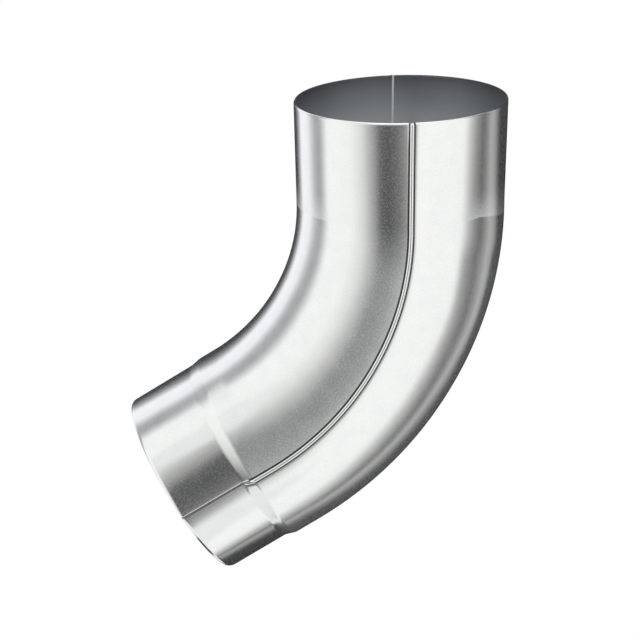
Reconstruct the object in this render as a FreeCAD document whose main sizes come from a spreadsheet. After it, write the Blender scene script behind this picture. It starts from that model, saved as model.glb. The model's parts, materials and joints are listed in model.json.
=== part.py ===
import FreeCAD, Part

import math
import os
from collections import namedtuple

import Sketcher

# Downspout elbow for round pipe of nominal size 100, in galvanised sheet steel.
# It is pressed as two half shells, the throat on the inside of the bend and the heel on the outside.
# Along both flanks the throat's edge stands up as a plain flange, and the heel's edge folds over it.
#
# The origin is the middle of the socket's mouth, with +Z up out of the socket, along the pipe it hangs from.
# The bend turns towards -X, so the spigot points down and towards -X. Y = 0 is the plane of symmetry.
# Lengths are in millimetres and angles in degrees.

SIZES = {
    # the sheet, and the three sizes of the pipe
    "sheet_thickness": 0.6,
    "socket_bore": 102.2,
    "body_diameter": 100.0,
    "spigot_diameter": 97.2,
    # along the elbow, from the socket's mouth down
    "socket_length": 47.0,
    "shoulder_length": 3.0,
    "bend_radius": 137.5,
    "bend_angle": 60.0,
    "straight_length": 10.0,
    "step_length": 5.3,
    "spigot_length": 35.0,
    # the body's axis lies this far from the socket's, towards the throat
    "throat_offset": 1.2,
    # the spigot's mouth curls in, over this length and by this much on the radius
    "lead_in_length": 2.0,
    "lead_in_depth": 0.7,
    # the lock seam: clearance between its layers, straight rise of its flanges, fillet at its root,
    # and the clearance under the lip of the fold
    "layer_gap": 0.05,
    "flange_rise": 0.5,
    "root_radius": 0.4,
    "lip_clearance": 0.1,
    # beside the seam the wall dips along a slope, which a rounded shoulder joins to the wall
    "root_sink": 0.15,
    "dip_slope": 3.0,
    "dip_shoulder": 6.0,
    # along the spigot the dip brings the rib almost flush with the wall, so that a pipe slides over it
    "spigot_rib_height": 0.1,
    "spigot_dip_slope": 35.0,
    "spigot_dip_shoulder": 2.0,
}

doc = FreeCAD.newDocument("downspout_elbow")
sheet = doc.addObject("Spreadsheet::Sheet", "sizes")
for row, (alias, number) in enumerate(SIZES.items(), start=1):
    sheet.set(f"A{row}", alias)
    sheet.set(f"B{row}", str(number))
    sheet.setAlias(f"B{row}", alias)
doc.recompute()


def measure(formula):
    """The value of a formula in the sheet's sizes."""
    return float(sheet.evalExpression(formula))


# The tube's wall where it is cut across: its outer radius, and the sink, slope and shoulder of the dip.
Section = namedtuple("Section", "wall sink slope shoulder")

FOLD_INSIDE = "sizes.sheet_thickness / 2 + sizes.layer_gap"
FOLD_OUTSIDE = "sizes.sheet_thickness * 3 / 2 + sizes.layer_gap"
PLAIN_DIP = ("sizes.root_sink", "sizes.dip_slope", "sizes.dip_shoulder")
SPIGOT_DIP = (
    f"sizes.root_radius * cos(sizes.spigot_dip_slope * 1 deg) + sizes.flange_rise + {FOLD_OUTSIDE}"
    " - sizes.spigot_rib_height",
    "sizes.spigot_dip_slope",
    "sizes.spigot_dip_shoulder",
)
SOCKET = Section("sizes.socket_bore / 2 + sizes.sheet_thickness", *PLAIN_DIP)
BODY = Section("sizes.body_diameter / 2", *PLAIN_DIP)
SPIGOT = Section("sizes.spigot_diameter / 2", *SPIGOT_DIP)
SPIGOT_MOUTH = Section("sizes.spigot_diameter / 2 - sizes.lead_in_depth", *SPIGOT_DIP)

# One bend of the sheet: its centre, the radii of the sheet's outer and inner faces, and the angles between
# which it runs, the last below the first where it turns clockwise.
Bend = namedtuple("Bend", "centre outer inner first last")


def bends_to_flange(section, flange_face):
    """The bends of one sheet from the plane of symmetry to its flange.

    The tube's axis is at the centre, the shell lies towards +x and its seam at +y. The root is a hollow fillet
    against the flange's face. From it the slope rises away from the seam to the shoulder, whose arc touches the
    wall's circle from inside: so the shoulder's centre lies on a line parallel to the slope, and as far from
    the tube's axis as the wall's radius less its own. Straight stretches join the bends as tangents.
    """
    wall = measure(section.wall)
    fillet = measure("sizes.root_radius")
    shoulder = measure(section.shoulder)
    slope = math.radians(measure(section.slope))
    along = FreeCAD.Vector(math.cos(slope), math.sin(slope), 0)
    outward = FreeCAD.Vector(-math.sin(slope), math.cos(slope), 0)
    root_height = wall - measure(section.sink) + fillet * math.cos(slope)
    root = FreeCAD.Vector(flange_face + fillet, root_height, 0)
    base = root - outward * (fillet + shoulder)
    nearest = base.dot(along)
    run = math.sqrt(nearest ** 2 - base.dot(base) + (wall - shoulder) ** 2) - nearest
    crest = base + along * run
    crest_angle = math.atan2(crest.y, crest.x)
    thickness = "sizes.sheet_thickness"
    return [
        Bend(FreeCAD.Vector(), section.wall, f"{section.wall} - {thickness}", 0, crest_angle),
        Bend(crest, section.shoulder, f"{section.shoulder} - {thickness}", crest_angle, math.pi / 2 + slope),
        Bend(root, "sizes.root_radius", f"sizes.root_radius + {thickness}", slope - math.pi / 2, -math.pi),
    ]


def throat_sheet(section):
    """The throat's flange stands in the middle of the seam, and ends level with the centre of the fold."""
    half = measure("sizes.sheet_thickness / 2")
    bends = bends_to_flange(section, half)
    height = bends[-1].centre.y + measure("sizes.flange_rise")
    return bends, FreeCAD.Vector(half, height, 0), FreeCAD.Vector(-half, height, 0)


def heel_sheet(section):
    """The heel's flange stands beside the throat's, folds over it and ends in a lip above the throat's root."""
    outside = measure(FOLD_OUTSIDE)
    inside = measure(FOLD_INSIDE)
    bends = bends_to_flange(section, outside)
    root_height = bends[-1].centre.y
    fold = FreeCAD.Vector(0, root_height + measure("sizes.flange_rise"), 0)
    bends.append(Bend(fold, FOLD_OUTSIDE, FOLD_INSIDE, 0, math.pi))
    height = root_height + measure("sizes.lip_clearance")
    return bends, FreeCAD.Vector(-outside, height, 0), FreeCAD.Vector(-inside, height, 0)


# An arc of the outline, drawn from start to end, on one face of a numbered bend.
Arc = namedtuple("Arc", "start end centre radius clockwise bend")


def face_arcs(bends, face):
    """The arcs of one face of the sheet, from the plane of symmetry to the seam."""
    arcs = []
    for number, bend in enumerate(bends):
        radius = getattr(bend, face)
        ends = [bend.centre + FreeCAD.Vector(math.cos(angle), math.sin(angle), 0) * measure(radius)
                for angle in (bend.first, bend.last)]
        arcs.append(Arc(*ends, bend.centre, radius, bend.last < bend.first, number))
    return arcs


def add_arc(sketch, arc):
    """Draws an arc, which a sketch stores counter-clockwise, and returns it with the names of its ends."""
    low, high = (arc.end, arc.start) if arc.clockwise else (arc.start, arc.end)
    first = math.atan2(low.y - arc.centre.y, low.x - arc.centre.x)
    last = math.atan2(high.y - arc.centre.y, high.x - arc.centre.x)
    if last <= first:
        last += 2 * math.pi
    circle = Part.Circle(arc.centre, FreeCAD.Vector(0, 0, 1), measure(arc.radius))
    index = sketch.addGeometry(Part.ArcOfCircle(circle, first, last))
    return (index, 2, 1) if arc.clockwise else (index, 1, 2)


# The shoulder's number among the bends, and the gap below which two bends touch with no straight between.
SHOULDER = 1
TOUCHING = 1e-6


def draw(sketch, bends, outer_corner, inner_corner, side):
    """Draws one sheet's closed outline: out along its outer face, round its free edge and back along its inner.

    Side 1 draws it towards +x, and -1 mirrored. Both faces of a bend share their centre, each arc's radius is
    tied to the sizes, and the wall is centred on the tube's axis. The shoulder's inner radius follows from its
    neighbours.
    """
    def mirrored(point):
        return FreeCAD.Vector(side * point.x, point.y, 0)

    outer = face_arcs(bends, "outer")
    inner = [arc._replace(start=arc.end, end=arc.start, clockwise=not arc.clockwise)
             for arc in reversed(face_arcs(bends, "inner"))]
    corners = [(outer[-1].end, outer_corner), (outer_corner, inner_corner), (inner_corner, inner[0].start)]
    path = [outer[0]]
    for arc in outer[1:] + [None] + inner[1:]:
        if arc is None:
            path += corners + [inner[0]]
        else:
            if (arc.start - path[-1].end).Length > TOUCHING:
                path.append((path[-1].end, arc.start))
            path.append(arc)
    path.append((path[-1].end, path[0].start))

    ends = []
    centres = {}
    for piece in path:
        if not isinstance(piece, Arc):
            ends.append((sketch.addGeometry(Part.LineSegment(*[mirrored(point) for point in piece])), 1, 2))
            continue
        flipped = piece._replace(
            start=mirrored(piece.start), end=mirrored(piece.end), centre=mirrored(piece.centre),
            clockwise=piece.clockwise == (side > 0),
        )
        ends.append(add_arc(sketch, flipped))
        index = ends[-1][0]
        is_inner_shoulder = piece.bend == SHOULDER and piece.bend in centres
        if not is_inner_shoulder:
            radius = sketch.addConstraint(Sketcher.Constraint("Radius", index, measure(piece.radius)))
            sketch.setExpression(f"Constraints[{radius}]", piece.radius)
        if piece.bend in centres:
            sketch.addConstraint(Sketcher.Constraint("Coincident", index, 3, centres[piece.bend], 3))
        centres.setdefault(piece.bend, index)
    sketch.addConstraint(Sketcher.Constraint("Coincident", ends[0][0], 3, -1, 1))
    for (index, _, tail), (following, head, _) in zip(ends, ends[1:] + ends[:1]):
        sketch.addConstraint(Sketcher.Constraint("Coincident", index, tail, following, head))


TURN = "sizes.bend_angle * 1 deg"
MOUTH_TO_BEND = "sizes.socket_length + sizes.shoulder_length"
SPIGOT_START = "sizes.straight_length + sizes.step_length"
SPIGOT_END = f"{SPIGOT_START} + sizes.spigot_length"


def past_bend(distance):
    """Formulas for x, z and the tilt of the tube's axis at a distance past the bend's end."""
    x = f"-sizes.throat_offset - sizes.bend_radius * (1 - cos({TURN})) - ({distance}) * sin({TURN})"
    z = f"-({MOUTH_TO_BEND}) - sizes.bend_radius * sin({TURN}) - ({distance}) * cos({TURN})"
    return x, z, TURN


# Where the tube is cut across: the section, and formulas for x, z and tilt. A loft or a pad joins them.
STATIONS = {
    "socket_end": (SOCKET, ("0", "-sizes.socket_length", "0 deg")),
    "bend_start": (BODY, ("-sizes.throat_offset", f"-({MOUTH_TO_BEND})", "0 deg")),
    "body_end": (BODY, past_bend("sizes.straight_length")),
    "spigot_start": (SPIGOT, past_bend(SPIGOT_START)),
    "lead_in_start": (SPIGOT, past_bend(f"{SPIGOT_END} - sizes.lead_in_length")),
    "spigot_end": (SPIGOT_MOUTH, past_bend(SPIGOT_END)),
}


def origin_plane(body, role):
    return [item for item in body.Origin.OriginFeatures if item.Role == role][0]


def cross_section(body, station, sheet_shape, side):
    """A sketch of one sheet across the tube at a station, tilted about Y."""
    section, (x, z, tilt) = STATIONS[station]
    sketch = body.newObject("Sketcher::SketchObject", f"{body.Label}_{station}")
    sketch.AttachmentSupport = (origin_plane(body, "XY_Plane"), "")
    sketch.MapMode = "FlatFace"
    about_y = FreeCAD.Rotation(FreeCAD.Vector(0, 1, 0), 1)
    sketch.AttachmentOffset = FreeCAD.Placement(FreeCAD.Vector(), about_y)
    sketch.setExpression("AttachmentOffset.Base.x", x)
    sketch.setExpression("AttachmentOffset.Base.z", z)
    sketch.setExpression("AttachmentOffset.Rotation.Angle", tilt)
    draw(sketch, *sheet_shape(section), side)
    return sketch


def add_bend_axis(sketch):
    """A construction line along Y through the centre of the bend, which lies towards the throat."""
    centre = FreeCAD.Vector(-measure("sizes.bend_radius"), 0, 0)
    line = sketch.addGeometry(Part.LineSegment(centre, centre + FreeCAD.Vector(0, 1, 0)), True)
    sketch.addConstraint(Sketcher.Constraint("Vertical", line))
    distance = sketch.addConstraint(Sketcher.Constraint("DistanceX", line, 1, -1, 1, -centre.x))
    sketch.setExpression(f"Constraints[{distance}]", "sizes.bend_radius")


def half_shell(label, sheet_shape, side):
    """One pressed shell: its half on the +Y side made station by station, then mirrored in Y = 0."""
    body = doc.addObject("PartDesign::Body", label)
    body.Label = label
    sketches = {station: cross_section(body, station, sheet_shape, side) for station in STATIONS}
    add_bend_axis(sketches["bend_start"])

    def pad(name, station, length):
        feature = body.newObject("PartDesign::Pad", f"{label}_{name}")
        feature.Profile = sketches[station]
        feature.setExpression("Length", length)
        return feature

    def loft(name, first, second):
        feature = body.newObject("PartDesign::AdditiveLoft", f"{label}_{name}")
        feature.Profile = sketches[first]
        feature.Sections = [sketches[second]]
        feature.Ruled = True
        return feature

    def turn(name, station, angle):
        feature = body.newObject("PartDesign::Revolution", f"{label}_{name}")
        feature.Profile = sketches[station]
        feature.ReferenceAxis = (sketches[station], ["Axis0"])
        feature.setExpression("Angle", angle)
        return feature

    mirrored = [
        pad("socket", "socket_end", "sizes.socket_length"),
        loft("shoulder", "socket_end", "bend_start"),
        turn("bend", "bend_start", "sizes.bend_angle"),
        pad("straight", "body_end", "sizes.straight_length"),
        loft("step", "body_end", "spigot_start"),
        pad("spigot", "lead_in_start", "sizes.spigot_length - sizes.lead_in_length"),
        loft("lead_in", "lead_in_start", "spigot_end"),
    ]
    both_halves = body.newObject("PartDesign::Mirrored", f"{label}_both_halves")
    both_halves.Originals = mirrored
    both_halves.MirrorPlane = (origin_plane(body, "XZ_Plane"), [""])
    body.Tip = both_halves
    return body


shells = [
    half_shell("throat_half_shell", throat_sheet, -1),
    half_shell("heel_half_shell", heel_sheet, 1),
]
doc.recompute()

failed = [item.Label for item in doc.Objects if "Invalid" in item.State or "Error" in item.State]
if failed:
    raise RuntimeError("these did not build: " + ", ".join(failed))
for shell in shells:
    if shell.Shape.isNull() or not shell.Shape.isValid() or len(shell.Shape.Solids) != 1:
        raise RuntimeError(shell.Label + " is not one valid solid")

os.makedirs("parts", exist_ok=True)
for shell in shells:
    shell.Shape.exportStep(f"parts/{shell.Label}.step")
    box = shell.Shape.BoundBox
    sides = " x ".join(f"{side:.1f}" for side in (box.XLength, box.YLength, box.ZLength))
    print(f"{shell.Label}: {shell.Shape.Volume:.0f} cubic mm, {sides} mm")
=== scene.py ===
import json
import math

import bpy
import numpy as np
from mathutils import Matrix, Vector


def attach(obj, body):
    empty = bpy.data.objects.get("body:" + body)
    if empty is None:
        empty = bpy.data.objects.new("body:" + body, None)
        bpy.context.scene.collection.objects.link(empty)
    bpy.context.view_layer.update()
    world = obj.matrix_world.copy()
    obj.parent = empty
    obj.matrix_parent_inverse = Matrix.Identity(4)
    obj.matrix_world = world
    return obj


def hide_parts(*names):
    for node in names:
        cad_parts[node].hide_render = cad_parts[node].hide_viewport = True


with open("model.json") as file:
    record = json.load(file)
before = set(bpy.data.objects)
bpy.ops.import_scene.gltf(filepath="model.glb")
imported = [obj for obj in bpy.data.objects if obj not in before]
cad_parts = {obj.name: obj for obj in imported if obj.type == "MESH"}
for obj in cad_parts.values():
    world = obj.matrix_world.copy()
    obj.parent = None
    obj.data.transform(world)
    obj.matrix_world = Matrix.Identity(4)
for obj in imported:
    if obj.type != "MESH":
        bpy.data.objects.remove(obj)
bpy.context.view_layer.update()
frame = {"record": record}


# Throat half shell: the half of the elbow on the inside of the bend. It is one blank of 0.6 mm galvanised
# steel sheet, pressed to a half tube with a socket, a bend and a spigot. Along both flanks its edge stands up
# as a plain flange, which the other shell's edge is folded over.
MM = 0.001
mounts = {mount["name"]: mount for mount in frame["record"]["mounts"]}

SHEET = 0.6 * MM
SOCKET_RADIUS = mounts["socket"]["dims"]["r_mm"] * MM + SHEET
SPIGOT_RADIUS = mounts["spigot"]["dims"]["r_mm"] * MM
# The bend starts this far below the mouth. There the heel has come in, so that the tube is less deep from
# throat to heel than it is wide from seam to seam, and its axis lies off the socket's, towards the throat.
BEND_START = 50 * MM
THROAT_OFFSET = 1.0 * MM
BEND_START_DEPTH = SOCKET_RADIUS - THROAT_OFFSET
BODY_DEPTH = 49.9 * MM
BODY_WIDTH = 50.1 * MM
# how much lower the crease at the socket's end is at the heel than at the seams
CREASE_SAG = 6 * MM

# The spigot's mount gives the bend: its axis the angle, and its place the radius and the run past the bend.
spigot_axis = Vector(mounts["spigot"]["axis"])
spigot_middle = Vector(mounts["spigot"]["pos_m"])
BEND_ANGLE = math.acos(-spigot_axis.z)
BEND_RADIUS, run_to_middle = np.linalg.solve(
    [[1 - math.cos(BEND_ANGLE), math.sin(BEND_ANGLE)], [math.sin(BEND_ANGLE), math.cos(BEND_ANGLE)]],
    [-THROAT_OFFSET - spigot_middle.x, -BEND_START - spigot_middle.z],
)
BEND_END = BEND_START + BEND_RADIUS * BEND_ANGLE
LEAD_IN_LENGTH = 2 * MM
LEAD_IN_DEPTH = 0.7 * MM
LEAD_IN_START = BEND_END + run_to_middle + mounts["spigot"]["dims"]["length_mm"] * MM / 2
SPIGOT_END = LEAD_IN_START + LEAD_IN_LENGTH
SPIGOT_LENGTH = 35 * MM
STEP_LENGTH = 5.3 * MM
STEP_END = SPIGOT_END - SPIGOT_LENGTH
STEP_START = STEP_END - STEP_LENGTH

# The lock seam: the gap between its layers, the rise of its flanges, and the fillet at its root.
LAYER_GAP = 0.05 * MM
FLANGE_RISE = 0.25 * MM
ROOT_FILLET = 0.3 * MM
FOLD_RADIUS = SHEET * 1.5 + LAYER_GAP
# Beside the rib the throat's wall sinks by this much along this slope, and an arc joins the slope to the wall.
THROAT_DIP = (0.05 * MM, math.radians(0.2))
DIP_ARC = 12 * MM
# The seam wanders: it lies towards the heel at the socket and towards the throat at the spigot. The drift
# fades by this power away from the seam.
SEAM_DRIFT = (0.5 * MM, -0.5 * MM)
DRIFT_FADE = 8
# The body lies towards the heel after the bend's middle, and the spigot less so.
BODY_DRIFT = 0.6 * MM
SPIGOT_DRIFT = 0.25 * MM
# The heel's step comes later than the throat's. The delay grows over this run of the bend, and fades by this
# power away from the heel's middle.
HEEL_STEP_DELAY = 3 * MM
DELAY_RUN = 4 * HEEL_STEP_DELAY
DELAY_FADE = 1.5
# On the spigot the seam is pressed flat, so that a pipe slides over it: the heel's edge is a closed hem that
# laps this far over the middle, and the throat's steps down steeply to pass under it.
HEM_BEND = SHEET / 2 + 0.02 * MM
HEM_LAP = FOLD_RADIUS
UNDER_LAP = 1.0 * MM
DOWNSTEP = math.radians(80)
DOWNSTEP_DEPTH = 2 * HEM_BEND + SHEET + LAYER_GAP
DOWNSTEP_START = HEM_LAP + HEM_BEND + SHEET / 2 + LAYER_GAP
# the socket's rim turns in by this much over this length
RIM_CURL = 0.5 * MM
RIM_CURL_LENGTH = 1.3 * MM
# how far pressing rounds the spigot's step, and deburring the cut edges
PRESSED_ROUNDING = 0.8 * MM
CUT_EDGE_ROUNDING = 0.2 * MM
# Points of the sheet's line: how many lie on its wall, on the dip's arc, in the root's fillet and on a rounded
# edge, and at which shares of the slope the rest lie.
ON_WALL, ON_DIP, IN_ROOT, ON_CORNER = 46, 6, 7, 4
SLOPE_SHARES = (0.5, 0.2, 0.06, 0.015)
ON_SLOPE = len(SLOPE_SHARES)
BEFORE_ROOT = ON_WALL + ON_DIP + ON_SLOPE


def climb(s, start, end):
    """From 0 at start to 1 at end, with rounded corners: the straight climb's mean over a sliding window."""
    def area(x):
        return (np.clip(x, start, end) - start) ** 2 / (2 * (end - start)) + np.maximum(x - end, 0)
    return (area(s + PRESSED_ROUNDING) - area(s - PRESSED_ROUNDING)) / (2 * PRESSED_ROUNDING)


def axis_line(s):
    """The tube's axis at distances s from the socket's mouth, and there the direction towards the heel.

    It runs down, then on a circle through the bend's angle, then straight along the spigot. In the socket it
    moves over evenly by the throat's offset.
    """
    turn = np.clip((s - BEND_START) / BEND_RADIUS, 0, BEND_ANGLE)
    before = np.minimum(s, BEND_START)
    after = np.maximum(s - BEND_END, 0)
    offset = THROAT_OFFSET * np.clip(s / BEND_START, 0, 1)
    x = -offset - BEND_RADIUS * (1 - np.cos(turn)) - after * np.sin(turn)
    z = -before - BEND_RADIUS * np.sin(turn) - after * np.cos(turn)
    nothing = np.zeros_like(s)
    return np.stack([x, nothing, z], axis=-1), np.stack([np.cos(turn), nothing, -np.sin(turn)], axis=-1)


def tube_wall(s):
    """Half the tube's depth and width at distances s.

    The depth falls evenly along the socket and again along the bend, the width along the bend alone, and both
    fall to the spigot's radius at its step. The rim and the spigot's mouth curl in along parabolas.
    """
    in_socket = np.clip(s / BEND_START, 0, 1)
    in_bend = np.clip((s - BEND_START) / (BEND_END - BEND_START), 0, 1)
    to_spigot = climb(s, STEP_START, STEP_END)
    curl = LEAD_IN_DEPTH * np.clip((s - LEAD_IN_START) / LEAD_IN_LENGTH, 0, 1) ** 2
    curl = curl + RIM_CURL * np.clip(1 - s / RIM_CURL_LENGTH, 0, 1) ** 2
    depth = (SOCKET_RADIUS + (BEND_START_DEPTH - SOCKET_RADIUS) * in_socket
             + (BODY_DEPTH - BEND_START_DEPTH) * in_bend + (SPIGOT_RADIUS - BODY_DEPTH) * to_spigot - curl)
    width = (SOCKET_RADIUS + (BODY_WIDTH - SOCKET_RADIUS) * in_bend
             + (SPIGOT_RADIUS - BODY_WIDTH) * to_spigot - curl)
    return depth, width


def wall_arc(s):
    """The centre and radius of the wall's outer arc, which runs through the tube's depth and width."""
    depth, width = tube_wall(s)
    radius = (depth ** 2 + width ** 2) / (2 * depth)
    return np.stack([depth - radius, 0 * s]), radius


def stations():
    """Distances along the tube at which it is cut across, close where it steps, and how far each is trimmed.

    At both ends the cut edge is a quarter circle on each face: the sheet thins by 1 - cos of an angle as the
    distance grows by 1 - sin.
    """
    corner = np.linspace(0, math.pi / 2, ON_CORNER)
    distance = CUT_EDGE_ROUNDING * (1 - np.sin(corner))[::-1]
    trim = CUT_EDGE_ROUNDING * (1 - np.cos(corner))[::-1]
    step = 2 * PRESSED_ROUNDING
    spans = [
        (CUT_EDGE_ROUNDING, RIM_CURL_LENGTH, 8),
        (RIM_CURL_LENGTH, BEND_START - step, 14),
        (BEND_START - step, BEND_START + CREASE_SAG + step, 30),
        (BEND_START + CREASE_SAG + step, BEND_END, 69),
        (BEND_END, STEP_START - step, 5),
        (STEP_START - step, STEP_END + step, 30),
        (STEP_END + step, LEAD_IN_START, 10),
        (LEAD_IN_START, SPIGOT_END - CUT_EDGE_ROUNDING, 9),
    ]
    along = np.concatenate([np.linspace(first, last, count, endpoint=False) for first, last, count in spans])
    s = np.concatenate([distance[:-1], along, SPIGOT_END - distance[::-1]])
    trims = np.zeros_like(s)
    trims[:len(trim)] = trim
    trims[-len(trim):] = trim[::-1]
    return s, trims


def ray(angle):
    """The unit vector at an angle."""
    return np.stack([np.cos(angle), np.sin(angle)])


def arc_line(centre, radius, first, last, count, follows=False, hollow=False):
    """Points, outward normals and trims on an arc, by equal angles.

    One that follows another leaves out the point that they share. On a hollow arc outward is to the centre.
    """
    t = np.linspace(0, 1, count + follows)[follows:, None]
    out = np.moveaxis(ray(first + (last - first) * t), 0, -1)
    point = centre.T + (radius + 0 * first)[:, None] * out
    return point, -out if hollow else out, np.zeros(point.shape[:2])


def free_edge(tip, along, outward):
    """The sheet's free edge, at a tip to which it runs along a direction, rounded as at the tube's ends."""
    corner = np.linspace(0, math.pi / 2, ON_CORNER)[:, None]
    back = CUT_EDGE_ROUNDING * (1 - np.sin(corner))
    point = tip.T - back[..., None] * along.T
    normal = np.broadcast_to(outward.T, point.shape)
    return point, normal, np.broadcast_to(CUT_EDGE_ROUNDING * (1 - np.cos(corner)), point.shape[:2])


def wall_line(s, flange_face, dip):
    """The middle of one sheet, cut across, from the plane of symmetry to the foot of its flange in the rib.

    x points away from the seam and y towards it. The dip's arc touches the wall's from inside, and the root
    is a hollow fillet against the flange. The slope between them is straight and touches both.
    """
    middle, wall = wall_arc(s)
    width = tube_wall(s)[1]
    sink, slope = dip[0], dip[1] + 0 * s
    along = ray(slope)
    out = ray(math.pi / 2 + slope)
    root_height = width - sink + ROOT_FILLET * np.cos(slope)
    root = np.stack([flange_face + ROOT_FILLET + 0 * s, root_height])
    base = root - out * (ROOT_FILLET + DIP_ARC) - middle
    nearest = (base * along).sum(0)
    run = np.sqrt(nearest ** 2 - (base * base).sum(0) + (wall - DIP_ARC) ** 2) - nearest
    crest = base + along * run
    crest_angle = np.arctan2(crest[1], crest[0])
    half = SHEET / 2
    foot = root - out * (ROOT_FILLET + half)
    points = foot + (run * along)[None] * np.array(SLOPE_SHARES)[:, None, None]
    straight = np.moveaxis(points, 1, -1)
    lines = [
        arc_line(middle, wall - half, 0 * s, crest_angle, ON_WALL),
        arc_line(crest + middle, DIP_ARC - half, crest_angle, slope + math.pi / 2, ON_DIP, follows=True),
        (straight, np.broadcast_to(out.T, straight.shape), np.zeros(straight.shape[:2])),
        arc_line(root, ROOT_FILLET + half, slope - math.pi / 2, -math.pi + 0 * s, IN_ROOT, hollow=True),
    ]
    return lines, root_height


def press_flat(s, rib, flat):
    """Points, normals and trims that go over from the rib's to the flat seam's along the spigot's step."""
    rib, flat = ([np.concatenate(parts) for parts in zip(*lines)] for lines in (rib, flat))
    share = climb(s, STEP_START, STEP_END)[:, None]
    point, normal = (a + (b - a) * share for a, b in zip(rib[:2], flat[:2]))
    return point, normal / np.linalg.norm(normal, axis=-1, keepdims=True), rib[2]


def throat_line(s):
    """The throat's sheet: in the rib a flange up to the centre of the fold, and on the spigot a step down.

    The step is a bend, a straight run and the bend back, as deep as the hem above it is thick. Both shapes
    have as many points.
    """
    lines, root_height = wall_line(s, SHEET / 2, THROAT_DIP)
    tip = np.stack([0 * s, root_height + FLANGE_RISE])
    rib = lines + [free_edge(tip, ray(math.pi / 2 + 0 * s), ray(0 * s))]

    middle, wall = wall_arc(s)
    line = wall - SHEET / 2
    start = np.arccos((DOWNSTEP_START - middle[0]) / line)
    near = np.arccos((2 * DOWNSTEP_START - middle[0]) / line)
    steep = start + DOWNSTEP
    bend = middle + (line - HEM_BEND) * ray(start)
    run = (DOWNSTEP_DEPTH - 2 * HEM_BEND * (1 - math.cos(DOWNSTEP))) / math.sin(DOWNSTEP)
    bend_back = bend + 2 * HEM_BEND * ray(steep) + run * ray(steep + math.pi / 2)
    tip = bend_back - HEM_BEND * ray(start) + UNDER_LAP * ray(start + math.pi / 2)
    flat = [
        arc_line(middle, line, 0 * s, near, ON_WALL + ON_SLOPE // 2),
        arc_line(middle, line, near, start, ON_SLOPE // 2, follows=True),
        arc_line(bend, HEM_BEND, start, steep, ON_DIP, follows=True),
        arc_line(bend_back, HEM_BEND, steep + math.pi, start + math.pi, IN_ROOT, hollow=True),
        free_edge(tip, ray(start + math.pi / 2), ray(start)),
    ]
    return press_flat(s, rib, flat)


# The press stretches the sheet from here on along the bend, over this length to the full, and most beside the
# throat's edge of the seam, fading over this width.
STRETCH_START = BEND_START
STRETCH_LENGTH = 26 * MM
STRETCH_WIDTH = 34 * MM
# The punch that widened the socket scuffed it more and more from here down to the crease at its end, by this
# power of the way. The shares are how far the throat is scuffed at these angles from a seam.
SCUFF_START = 36 * MM
SCUFF_POWER = 1.5
CREASE_LENGTH = 0.4 * MM
SCUFF_ANGLES = np.radians((27, 39, 50, 64))
THROAT_SCUFF = (0, 1, 1, 1)
# The heel's lip covers the throat beside its root, and a dark line of painted shade, standing in for the
# shade in the groove, fills the next part. On the spigot the throat passes under the hem, and is as free of
# that painted shade as at this distance from its line.
UNDER_LIP = FOLD_RADIUS - SHEET / 2 - ROOT_FILLET
THROAT_PAINTED_SHADE = 0.6 * MM
UNDER_HEM_SHADE_DISTANCE = 0.3 * MM
# faces that meet at more than this angle keep a sharp edge
SHARP_EDGE = math.radians(50)


def stretch(s):
    """How far the sheet is stretched at distances s: it climbs evenly into the bend and falls at the step."""
    return np.clip((s - STRETCH_START) / STRETCH_LENGTH, 0, 1) * (1 - climb(s, STEP_START, STEP_END))


def scuff(s, crease, from_flank, shares):
    """How far the socket is scuffed: a power of the way down to the crease, and nothing past it."""
    to_crease = np.clip((s - SCUFF_START) / (crease - SCUFF_START), 0, 1) ** SCUFF_POWER
    past_crease = np.clip((s - crease) / CREASE_LENGTH, 0, 1)
    return to_crease * (1 - past_crease) * np.interp(from_flank, SCUFF_ANGLES, shares)


def throat_wear(s, from_middle, foot, root_end, from_flank):
    """The throat's distance from the painted shade line beside the rib, and how far it is stretched and
    scuffed.

    Distances run round the tube from the throat's middle, to where the root starts and ends. The painted shade
    line fades out along the step, and the stretching by a bell curve away from the seam.
    """
    drawn_in = climb(s, STEP_START, STEP_END)
    # where the painted shade line beside the rib ends, past the lip
    painted_shade = UNDER_LIP + THROAT_PAINTED_SHADE
    beside = np.maximum(foot - from_middle - painted_shade, 0) + np.maximum(from_middle - root_end, 0)
    beside = beside * (1 - drawn_in) + UNDER_HEM_SHADE_DISTANCE * drawn_in
    stretched = stretch(s) * np.exp(-(beside / STRETCH_WIDTH) ** 2)
    return beside, stretched, scuff(s, BEND_START, from_flank, THROAT_SCUFF)


def carry(s, across, side):
    """The sheet's section, carried along the tube's axis.

    Each point lies at its two distances from the axis, towards the shell's side and towards a seam. It moves
    over with the seam's drift and the body's, and onward with the delay of the heel's step.
    """
    axis, heel = axis_line(s)
    onward = np.stack([heel[..., 2], 0 * s, -heel[..., 0]], axis=-1)
    near_seam = (abs(across[..., 1:]) / tube_wall(s)[1][:, None]) ** DRIFT_FADE
    seam = np.interp(s, (0, SPIGOT_END), SEAM_DRIFT)[:, None] * near_seam
    body_marks = (BEND_START + BEND_END) / 2, BEND_END, STEP_START, STEP_END
    body = np.interp(s, body_marks, (0, BODY_DRIFT, BODY_DRIFT, SPIGOT_DRIFT))[:, None]
    delay_marks = BEND_END - DELAY_RUN, STEP_START, STEP_END, LEAD_IN_START
    delay = np.interp(s, delay_marks, (0, 1, 1, 0))[:, None]
    reach = np.clip(side * across[..., :1] / SPIGOT_RADIUS, 0, 1) ** DELAY_FADE
    sideways = np.array([0.0, 1.0, 0.0])
    return (axis + heel * (side * across[..., :1] + seam + body) + sideways * across[..., 1:]
            + onward * HEEL_STEP_DELAY * delay * reach)


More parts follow.
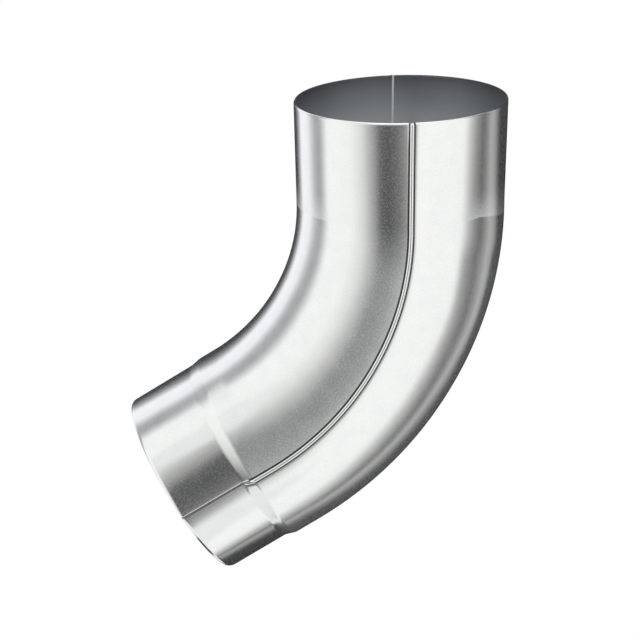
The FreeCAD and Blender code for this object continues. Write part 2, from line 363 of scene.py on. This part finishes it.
def skin_faces(rows, columns):
    """Quads between neighbours round the sheet and along it, and from inner to outer face at both its ends.

    The first half of the rows lie on the outer face, and the rest come back on the inner one.
    """
    index = np.arange(rows * columns).reshape(rows, columns)
    ring = np.roll(index, -1, axis=0)
    skin = np.stack([index[:, :-1], ring[:, :-1], ring[:, 1:], index[:, 1:]], axis=-1).reshape(-1, 4)
    outer, inner = index[:rows // 2], index[:rows // 2 - 1:-1]
    ends = [np.stack([inner[:-1, end], inner[1:, end], outer[1:, end], outer[:-1, end]], axis=-1)[:, ::turn]
            for end, turn in ((0, 1), (-1, -1))]
    return np.concatenate([skin] + ends)


def press_shell(name, sheet_line, side, wear):
    """One half shell: the sheet's line, mirrored in the plane of symmetry and carried along the tube's axis.

    The sheet's outer and inner faces lie half its thickness to either side of the line. Side 1 is the heel's
    and -1 the throat's. The UV map runs round the tube and along it, in metres. The attributes say where the
    sheet is stretched, scuffed, scored by the tool that drew in the spigot, or on the inside, from 0 to 1. The
    last one is a distance: outside from the painted shade line beside the rib or the hem, and inside from the
    seam, along which lies a painted highlight.
    """
    s, station_trim = stations()
    flank, flank_normal, flank_trim = sheet_line(s)
    mirror = np.array([1.0, -1.0])
    line = np.concatenate([flank[:0:-1] * mirror, flank])
    normal = np.concatenate([flank_normal[:0:-1] * mirror, flank_normal])
    trim = np.concatenate([flank_trim[:0:-1], flank_trim])
    half = (SHEET / 2 - np.maximum(trim, station_trim))[..., None]
    across = np.concatenate([line + normal * half, (line - normal * half)[::-1]])

    place = carry(s, across, side)
    rows, columns = place.shape[:2]
    faces = skin_faces(rows, columns)[:, ::side]
    mesh = bpy.data.meshes.new(name)
    mesh.from_pydata(place.reshape(-1, 3), [], faces)

    middle = len(line) // 2
    around = np.zeros_like(line[..., 0])
    around[1:] = np.cumsum(np.linalg.norm(np.diff(line, axis=0), axis=-1), axis=0)
    around -= around[middle]
    uv = np.stack([np.concatenate([around, around[::-1]]), np.broadcast_to(s, (rows, columns))], axis=-1)
    layer = mesh.uv_layers.new(name="sheet")
    layer.data.foreach_set("uv", uv.reshape(-1, 2)[faces.ravel()].astype(np.float32).ravel())

    from_middle = abs(around)
    foot = around[middle + BEFORE_ROOT - 1]
    root_end = around[middle + BEFORE_ROOT + IN_ROOT - 1]
    outer_face = across[:len(line)]
    from_flank = np.arctan2(outer_face[..., 0], abs(outer_face[..., 1]))
    beside, stretched, scuffed = wear(s, from_middle, foot, root_end, from_flank)
    from_seam = np.maximum(root_end - from_middle, 0)
    nowhere = np.zeros_like(beside)
    drawn_in = nowhere + climb(s, STEP_START, STEP_END)
    for mark, outer, inner in (
        ("stretched", stretched, nowhere),
        ("scuffed", scuffed, nowhere),
        ("scored", drawn_in, drawn_in),
        ("inside", nowhere, nowhere + 1),
        ("from_edge", beside, from_seam[::-1]),
    ):
        values = np.concatenate([outer, inner]).astype(np.float32).ravel()
        mesh.attributes.new(mark, "FLOAT", "POINT").data.foreach_set("value", values)
    mesh.shade_smooth()
    mesh.set_sharp_from_angle(angle=SHARP_EDGE)
    mesh.update()
    shell = bpy.data.objects.new(name, mesh)
    bpy.context.collection.objects.link(shell)
    return shell


def linear(hex_colour):
    """A colour written as sRGB hex, in the linear values that a shader takes."""
    srgb = np.array([int(hex_colour[i:i + 2], 16) for i in (1, 3, 5)]) / 255
    return (*np.where(srgb <= 0.04045, srgb / 12.92, ((srgb + 0.055) / 1.055) ** 2.4), 1.0)


def add(tree, kind, links=None, **settings):
    """A node of that kind. Settings named in_ and a number are input values, and links join its inputs."""
    node = tree.nodes.new(kind)
    for name, value in settings.items():
        if name.startswith("in_"):
            node.inputs[int(name[3:])].default_value = value
        else:
            setattr(node, name, value)
    for number, socket in (links or {}).items():
        tree.links.new(socket, node.inputs[number])
    return node


# Hot-dip galvanised steel, rolled to a satin skin. The zinc gives a pale, slightly cool grey whose
# reflections have soft edges. Along the bend, where the press stretched the sheet, the zinc is crazed and
# partly matt, and so is the socket's end, which its punch scuffed. A fine grain shows where the sheet mirrors
# something dark. The tool that drew in the spigot left faint scores along it. Inside, where no roll or die has
# polished it, the zinc is duller and bluer. Along the inner seam a pale, nearly matt line is a painted
# highlight, standing in for the glint of the seam's rounded edges. Beside the feet of the rib and the hem's
# edge a dark line is painted shade, standing in for the shade in those grooves.
steel = bpy.data.materials.new("galvanised steel, skin-passed and pressed")
steel.use_nodes = True
tree = steel.node_tree
tree.nodes.clear()
sheet_map = add(tree, "ShaderNodeUVMap", uv_map="sheet").outputs["UV"]
stretched = add(tree, "ShaderNodeAttribute", attribute_name="stretched").outputs["Fac"]
scuffed = add(tree, "ShaderNodeAttribute", attribute_name="scuffed").outputs["Fac"]
scored = add(tree, "ShaderNodeAttribute", attribute_name="scored").outputs["Fac"]
inside = add(tree, "ShaderNodeAttribute", attribute_name="inside").outputs["Fac"]
from_edge = add(tree, "ShaderNodeAttribute", attribute_name="from_edge").outputs["Fac"]
# On the real sheet the grain and the scores are about a tenth of a millimetre. Both are drawn coarser, to
# show.
GRAIN = 1.0 * MM
SCORE_WIDTH, SCORE_LENGTH = 0.8 * MM, 60 * MM
CLOUD = 9 * MM
grain = add(tree, "ShaderNodeTexNoise", {0: sheet_map}, in_2=1 / GRAIN, in_3=3.0, in_4=0.6)
cloud = add(tree, "ShaderNodeTexNoise", {0: sheet_map}, in_2=1 / CLOUD, in_3=4.0, in_4=0.6)
drawn_out = add(tree, "ShaderNodeMapping", {0: sheet_map}, in_3=(1 / SCORE_WIDTH, 1 / SCORE_LENGTH, 1))
score = add(tree, "ShaderNodeTexNoise", {0: drawn_out.outputs[0]}, in_2=1.0, in_3=3.0, in_4=0.6)

# Colour: clouded zinc outside, and inside a dull one that gets paler down the socket. Over it lie a dark
# line of painted shade beside the rib and the hem, and a pale line of painted highlight along the inner seam,
# full up to the first distance from their edge and gone from the second on.
PAINTED_SHADE_FULL, PAINTED_SHADE_GONE = 0.084 * MM, 0.156 * MM
HIGHLIGHT_FULL, HIGHLIGHT_GONE = 0.42 * MM, 0.78 * MM
PALER_FROM, PALER_TO = 2 * MM, 30 * MM
zinc = add(tree, "ShaderNodeValToRGB", {0: cloud.outputs[0]})
zinc.color_ramp.elements[0].position = 0.3
zinc.color_ramp.elements[0].color = linear("#e2e4e5")
zinc.color_ramp.elements[1].position = 0.7
zinc.color_ramp.elements[1].color = linear("#e8e9e9")
depth = add(tree, "ShaderNodeSeparateXYZ", {0: sheet_map})
paler = add(tree, "ShaderNodeMapRange", {0: depth.outputs[1]}, in_1=PALER_FROM, in_2=PALER_TO)
dull = add(tree, "ShaderNodeMix", {0: paler.outputs[0]}, data_type="RGBA",
           in_6=linear("#83868a"), in_7=linear("#f0f3f5"))
raw = add(tree, "ShaderNodeMix", {0: inside, 6: zinc.outputs[0], 7: dull.outputs[2]}, data_type="RGBA")
# painted shade: a dark line beside the rib's feet and the hem's edge, standing in for the shade in those
# grooves
near_rib = add(tree, "ShaderNodeMapRange", {0: from_edge}, in_1=PAINTED_SHADE_FULL, in_2=PAINTED_SHADE_GONE, in_3=1.0, in_4=0.0)
outside = add(tree, "ShaderNodeMath", {1: inside}, operation="SUBTRACT", in_0=1.0)
painted_shade = add(tree, "ShaderNodeMath", {0: near_rib.outputs[0], 1: outside.outputs[0]}, operation="MULTIPLY")
with_painted_shade = add(tree, "ShaderNodeMix", {0: painted_shade.outputs[0], 6: raw.outputs[2]}, data_type="RGBA",
            in_7=linear("#4a4a48"))
# painted highlight: a pale line along the inner seam, standing in for the glint of its rounded edges
near_edge = add(tree, "ShaderNodeMapRange", {0: from_edge}, in_1=HIGHLIGHT_FULL, in_2=HIGHLIGHT_GONE,
                in_3=1.0, in_4=0.0)
painted_highlight = add(tree, "ShaderNodeMath", {0: near_edge.outputs[0], 1: inside}, operation="MULTIPLY")
with_painted_highlight = add(tree, "ShaderNodeMix", {0: painted_highlight.outputs[0], 6: with_painted_shade.outputs[2]}, data_type="RGBA",
           in_7=linear("#f2f3f4"))

# Gloss: the roughness of the plain, the stretched and the inner skin, which grain and clouds vary.
GLOSS, GLOSS_STRETCHED, GLOSS_INSIDE = 0.14, 0.21, 0.42
body_gloss = add(tree, "ShaderNodeMapRange", {0: stretched}, in_3=GLOSS, in_4=GLOSS_STRETCHED)
all_gloss = add(tree, "ShaderNodeMix", {0: inside, 2: body_gloss.outputs[0]}, in_3=GLOSS_INSIDE)
marks = add(tree, "ShaderNodeMath", {0: grain.outputs[0], 1: cloud.outputs[0]}, operation="ADD")
uneven = add(tree, "ShaderNodeMapRange", {0: marks.outputs[0]}, in_1=0.75, in_2=1.25, in_3=0.88, in_4=1.15)
gloss = add(tree, "ShaderNodeMath", {0: all_gloss.outputs[0], 1: uneven.outputs[0]}, operation="MULTIPLY")

# Haze: how far crazed, scuffed and grainy zinc scatters the light instead of mirroring it, and how nearly
# matt the painted highlight along the inner seam is.
HAZE_STRETCHED, HAZE_SCUFFED, HAZE_GRAIN, HAZE_PAINTED_HIGHLIGHT = 0.23, 0.4, 0.08, 0.9
speck = add(tree, "ShaderNodeMapRange", {0: grain.outputs[0]}, in_1=0.46, in_2=0.62, in_4=HAZE_GRAIN)
crazed = add(tree, "ShaderNodeMapRange", {0: stretched}, in_4=HAZE_STRETCHED)
matt = add(tree, "ShaderNodeMapRange", {0: scuffed, 3: crazed.outputs[0]}, in_4=HAZE_SCUFFED)
haze = add(tree, "ShaderNodeMath", {0: speck.outputs[0], 1: matt.outputs[0]}, operation="ADD")
metal = add(tree, "ShaderNodeMath", {1: haze.outputs[0]}, operation="SUBTRACT", in_0=1.0)
# the painted highlight along the inner seam is also made nearly matt
painted_highlight_haze = add(tree, "ShaderNodeMapRange", {0: painted_highlight.outputs[0]}, in_4=HAZE_PAINTED_HIGHLIGHT)
all_metal = add(tree, "ShaderNodeMath", {0: metal.outputs[0], 1: painted_highlight_haze.outputs[0]}, operation="SUBTRACT")

# Relief: the grain all over, and the scores on the spigot.
GRAIN_DEPTH = 0.0015 * MM
SCORE_DEPTH = 0.005 * MM
fine = add(tree, "ShaderNodeBump", {3: grain.outputs[0]}, in_0=1.0, in_1=GRAIN_DEPTH)
relief = add(tree, "ShaderNodeBump", {0: scored, 3: score.outputs[0], 4: fine.outputs[0]}, in_1=SCORE_DEPTH)
skin = add(tree, "ShaderNodeBsdfPrincipled")
tree.links.new(with_painted_highlight.outputs[2], skin.inputs["Base Color"])
tree.links.new(all_metal.outputs[0], skin.inputs["Metallic"])
tree.links.new(gloss.outputs[0], skin.inputs["Roughness"])
tree.links.new(relief.outputs[0], skin.inputs["Normal"])
add(tree, "ShaderNodeOutputMaterial", {0: skin.outputs[0]})

throat = press_shell("throat_shell", throat_line, -1, throat_wear)
throat.data.materials.append(steel)
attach(throat, "root")
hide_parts("throat_half_shell")


# Heel half shell: the half on the outside of the bend, pressed from the same sheet. Its edge stands up beside
# the throat's flange, folds over it and comes down on its far side. Pressed tight, that fold is the rib along
# each flank that locks the two shells together.

# beside the rib its wall sinks more than the throat's
HEEL_DIP = (0.13 * MM, math.radians(3.5))
# the lip's height over the root, the length turned under in the hem, and the number of points on a fold
LIP_CLEARANCE = 0.1 * MM
HEM_LIP = 0.4 * MM
ON_FOLD = 13
# The press stretched it less than the throat, and evenly. It is scuffed at the same angles by shares of its
# own, and its crease sags from this angle from a seam on.
HEEL_STRETCH = 0.25
HEEL_SCUFF = (0, 1, 1, 0.3)
SAG_ANGLE = math.radians(42)
# A dark line of painted shade, standing in for the shade in the groove, fills this width beside its root. At
# the hem's edge it is as thin as at this distance from the rib's painted shade, and goes over to that early on
# the step, by this factor.
HEEL_PAINTED_SHADE = 0.3 * MM
HEM_SHADE_DISTANCE = 0.105 * MM
HEM_SHADE_EARLY = 4


def heel_line(s):
    """The heel's sheet: in the rib a flange, a half circle over the throat's and a lip, on the spigot a hem.

    The hem is the wall's own line, carried past the middle and turned back under itself.
    """
    lines, root_height = wall_line(s, FOLD_RADIUS, HEEL_DIP)
    fold_bend = FOLD_RADIUS - SHEET / 2
    fold = np.stack([0 * s, root_height + FLANGE_RISE])
    tip = np.stack([-fold_bend + 0 * s, root_height + LIP_CLEARANCE])
    rib = lines + [
        arc_line(fold, fold_bend, 0 * s, math.pi + 0 * s, ON_FOLD),
        free_edge(tip, ray(-math.pi / 2 + 0 * s), ray(math.pi + 0 * s)),
    ]

    middle, wall = wall_arc(s)
    line = wall - SHEET / 2
    near = np.arccos((2 * HEM_LAP - middle[0]) / line)
    seam = np.arccos((HEM_LAP - middle[0]) / line)
    turn = np.arccos((HEM_BEND + SHEET / 2 - HEM_LAP - middle[0]) / line)
    hem = middle + (line - HEM_BEND) * ray(turn)
    tip = hem - HEM_BEND * ray(turn) - HEM_LIP * ray(turn + math.pi / 2)
    flat = [
        arc_line(middle, line, 0 * s, near, ON_WALL + ON_SLOPE),
        arc_line(middle, line, near, seam, ON_DIP, follows=True),
        arc_line(middle, line, seam, turn, IN_ROOT, follows=True),
        arc_line(hem, HEM_BEND, turn, turn + math.pi, ON_FOLD, follows=True),
        free_edge(tip, -ray(turn + math.pi / 2), -ray(turn)),
    ]
    return press_flat(s, rib, flat)


def heel_wear(s, from_middle, foot, root_end, from_flank):
    """The heel's distance from the painted shade line beside the rib or the hem, and how far it is stretched
    and scuffed.

    Along the step the distance goes over from the rib's to the hem's, which runs back from the hem's edge.
    """
    beside = np.maximum(foot - from_middle - HEEL_PAINTED_SHADE, 0) + np.maximum(from_middle - root_end, 0)
    beside_hem = np.maximum(root_end - from_middle, HEM_SHADE_DISTANCE)
    sunk = np.minimum(HEM_SHADE_EARLY * climb(s, STEP_START, STEP_END), 1)
    beside = beside * (1 - sunk) + beside_hem * sunk
    crease = BEND_START + CREASE_SAG * np.interp(from_flank, (SAG_ANGLE, math.pi / 2), (0, 1))
    stretched = stretch(s) * HEEL_STRETCH * np.ones_like(beside)
    return beside, stretched, scuff(s, crease, from_flank, HEEL_SCUFF)


heel = press_shell("heel_shell", heel_line, 1, heel_wear)
heel.data.materials.append(steel)
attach(heel, "root")
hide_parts("heel_half_shell")


# The floor: a sheet of plain white paper well below the elbow, which hangs from its socket. It is white to
# the camera and in the metal, and keeps a share of its own shading, so that a shadow still shows on it.
FLOOR_HEIGHT = -0.95
FLOOR_REACH = 30.0
SHADOW_SHARE = 0.25


def seen_directly(tree):
    """1 for rays from the camera and for mirrored and refracted ones, 0 for those that only give light."""
    path = add(tree, "ShaderNodeLightPath").outputs
    either = add(tree, "ShaderNodeMath", {0: path["Is Camera Ray"], 1: path["Is Glossy Ray"]}, operation="ADD")
    any_of = add(tree, "ShaderNodeMath", {0: either.outputs[0], 1: path["Is Transmission Ray"]},
                 operation="ADD", use_clamp=True)
    return any_of.outputs[0]


paper = bpy.data.materials.new("white backdrop paper")
paper.use_nodes = True
tree = paper.node_tree
tree.nodes.clear()
shaded = add(tree, "ShaderNodeBsdfDiffuse", in_0=linear("#ffffff"))
bright = add(tree, "ShaderNodeEmission", in_0=linear("#ffffff"), in_1=1.0)
share = add(tree, "ShaderNodeMath", {0: seen_directly(tree)}, operation="MULTIPLY", in_1=1 - SHADOW_SHARE)
mixed = add(tree, "ShaderNodeMixShader", {0: share.outputs[0], 1: shaded.outputs[0], 2: bright.outputs[0]})
add(tree, "ShaderNodeOutputMaterial", {0: mixed.outputs[0]})

corners = FLOOR_REACH * np.array([[-1, -1, 0], [1, -1, 0], [1, 1, 0], [-1, 1, 0]]) + [0, 0, FLOOR_HEIGHT]
floor_mesh = bpy.data.meshes.new("floor")
floor_mesh.from_pydata(corners, [], [(0, 1, 2, 3)])
floor_mesh.materials.append(paper)
floor = bpy.data.objects.new("floor", floor_mesh)
bpy.context.collection.objects.link(floor)


# The light tent: white all round, with three walls of grey paper in it and a dark cloth on the ground. The
# walls' greys run into each other. Only the metal sees them, and they give it its bands. Directions are
# degrees to the right of the front, and above the horizon.
TENT_CENTRE = np.array([-0.04, 0.0, -0.11])
TENT_RADIUS = 0.8
TENT_LIGHT = 1.19

world = bpy.data.worlds.new("white tent")
bpy.context.scene.world = world
world.use_nodes = True
tree = world.node_tree
tree.nodes.clear()
background = add(tree, "ShaderNodeBackground", in_0=linear("#ffffff"), in_1=1.0)
add(tree, "ShaderNodeOutputWorld", {0: background.outputs[0]})

card_paper = bpy.data.materials.new("card in the light tent")
card_paper.use_nodes = True
tree = card_paper.node_tree
tree.nodes.clear()
tone = add(tree, "ShaderNodeVertexColor", layer_name="tone")
glow = add(tree, "ShaderNodeEmission", {0: tone.outputs[0]}, in_1=1.0)
add(tree, "ShaderNodeOutputMaterial", {0: glow.outputs[0]})

# a wall's faces between two neighbouring stripes, and between two of its heights
WALL_STEPS = 12


def hang_wall(name, elevations, stripes):
    """A paper wall in the tent: a patch of a sphere, painted with soft stripes from its foot to its top.

    A stripe is its tone and its azimuths at the elevations. Between two stripes the tone fades evenly to the
    eye, that is in the cube root of its light.
    """
    tones, azimuths = zip(*stripes)
    across = np.linspace(0, len(stripes) - 1, WALL_STEPS * (len(stripes) - 1) + 1)
    up = np.linspace(0, len(elevations) - 1, WALL_STEPS * (len(elevations) - 1) + 1)
    by_height = np.array([np.interp(up, range(len(elevations)), line) for line in azimuths])
    a = np.radians([np.interp(across, range(len(stripes)), line) for line in by_height.T]).T
    e = np.radians(np.interp(up, range(len(elevations)), elevations)) + 0 * a
    direction = np.stack([np.sin(a) * np.cos(e), -np.cos(a) * np.cos(e), np.sin(e)], axis=-1)
    place = TENT_CENTRE + TENT_RADIUS * direction
    index = np.arange(a.size).reshape(a.shape)
    faces = np.stack([index[:-1, :-1], index[1:, :-1], index[1:, 1:], index[:-1, 1:]], axis=-1).reshape(-1, 4)
    mesh = bpy.data.meshes.new(name)
    mesh.from_pydata(place.reshape(-1, 3), [], faces)
    roots = np.cbrt(np.array([linear(tone) for tone in tones]))
    light = np.stack([np.interp(across, range(len(stripes)), root) for root in roots.T], axis=-1) ** 3
    light = np.repeat(light[:, None], len(up), axis=1) * TENT_LIGHT
    layer = mesh.color_attributes.new("tone", "FLOAT_COLOR", "POINT")
    layer.data.foreach_set("color", light.astype(np.float32).ravel())
    mesh.materials.append(card_paper)
    wall = bpy.data.objects.new(name, mesh)
    bpy.context.collection.objects.link(wall)
    wall.visible_camera = False
    wall.visible_diffuse = False
    wall.visible_shadow = False
    wall.visible_transmission = False


hang_wall("left_wall", (-60, -15, 10, 45), (
    ("#303133", (-180, -180, -180, -180)),
    ("#404143", (-158, -158, -161, -162)),
    ("#8e8f91", (-149, -149, -151, -152)),
    ("#fafafc", (-141, -140, -142, -143)),
    ("#f3f4f6", (-122, -122, -124, -126)),
    ("#a9aaab", (-107, -107, -111, -114)),
    ("#a1a2a3", (-101, -101, -102, -103)),
    ("#fbfbfa", (-90, -90, -88, -88)),
    ("#f8f8f5", (-58, -58, -58, -58)),
))
hang_wall("front_wall", (-42, -33, -15, 10, 26), (
    ("#f8f8f5", (-58, -58, -58, -58, -58)),
    ("#dededb", (-56, -52, -44, -43, -43)),
    ("#989896", (-42, -38, -31, -29, -27)),
    ("#5e5e5e", (-35, -31, -25, -23, -19)),
    ("#545454", (-28, -25, -18, -16, -12)),
    ("#646463", (-22, -18, -10, -7, -6)),
    ("#787877", (-16, -12, -3, -2, -2)),
    ("#a0a09e", (-7, -2, 4, 3, 3)),
    ("#e2e2e0", (0, 4, 10, 9, 9)),
    ("#fcfcfa", (7, 9, 16, 16, 16)),
    ("#fcfcfa", (17, 17, 17, 17, 17)),
))
hang_wall("right_wall", (-85, -45, -28, -18, -16, -7, 45), (
    ("#fcfcfa", (17, 17, 17, 17, 17, 17, 17)),
    ("#f8f8f6", (38, 56, 66, 64, 65, 67, 67)),
    ("#9c9c9a", (80, 78, 76, 73, 79, 81, 81)),
    ("#626261", (92, 92, 93, 88, 92, 92, 92)),
    ("#b0b0ae", (104, 107, 113, 108, 110, 105, 100)),
    ("#989896", (116, 114, 121, 118, 121, 113, 105)),
    ("#3a3a3a", (146, 136, 129, 124, 132, 125, 117)),
    ("#343434", (180, 180, 180, 180, 180, 180, 180)),
))
hang_wall("dark_cloth_below", (-86, -63), (
    ("#303030", (-135, -135)),
    ("#303030", (-35, -35)),
))


# The lamp: one large softbox overhead, at a plain level.
SOFTBOX_SIDE = 1.2
SOFTBOX_HEIGHT = 1.3
SOFTBOX_RADIANCE = 0.9
softbox = bpy.data.lights.new("softbox", "AREA")
softbox.shape = "SQUARE"
softbox.size = SOFTBOX_SIDE
softbox.energy = SOFTBOX_RADIANCE * math.pi * SOFTBOX_SIDE ** 2
lamp = bpy.data.objects.new("softbox", softbox)
lamp.location = (TENT_CENTRE[0], TENT_CENTRE[1], SOFTBOX_HEIGHT)
bpy.context.collection.objects.link(lamp)


# The camera stands in front of the near seam, a little to the left and above, and looks down on the bend.
CAMERA_AZIMUTH, CAMERA_ELEVATION, CAMERA_ROLL = (math.radians(angle) for angle in (-2.837, 18.587, -1.585))
CAMERA_DISTANCE = 1.1273
CAMERA_TARGET = Vector((-0.04186, 0.0, -0.11079))
CAMERA_LENS = 127.93

data = bpy.data.cameras.new("camera")
data.lens = CAMERA_LENS
data.sensor_width = 36.0
data.clip_start, data.clip_end = 0.05, 100.0
back = Vector((
    math.sin(CAMERA_AZIMUTH) * math.cos(CAMERA_ELEVATION),
    -math.cos(CAMERA_AZIMUTH) * math.cos(CAMERA_ELEVATION),
    math.sin(CAMERA_ELEVATION),
))
right = Vector((0, 0, 1)).cross(back).normalized()
up = back.cross(right)
turned_right = right * math.cos(CAMERA_ROLL) + up * math.sin(CAMERA_ROLL)
turned_up = up * math.cos(CAMERA_ROLL) - right * math.sin(CAMERA_ROLL)
camera = bpy.data.objects.new("camera", data)
camera.rotation_euler = Matrix((turned_right, turned_up, back)).transposed().to_euler()
camera.location = CAMERA_TARGET + back * CAMERA_DISTANCE
bpy.context.collection.objects.link(camera)
bpy.context.scene.camera = camera
bpy.context.scene.view_settings.view_transform = "Standard"
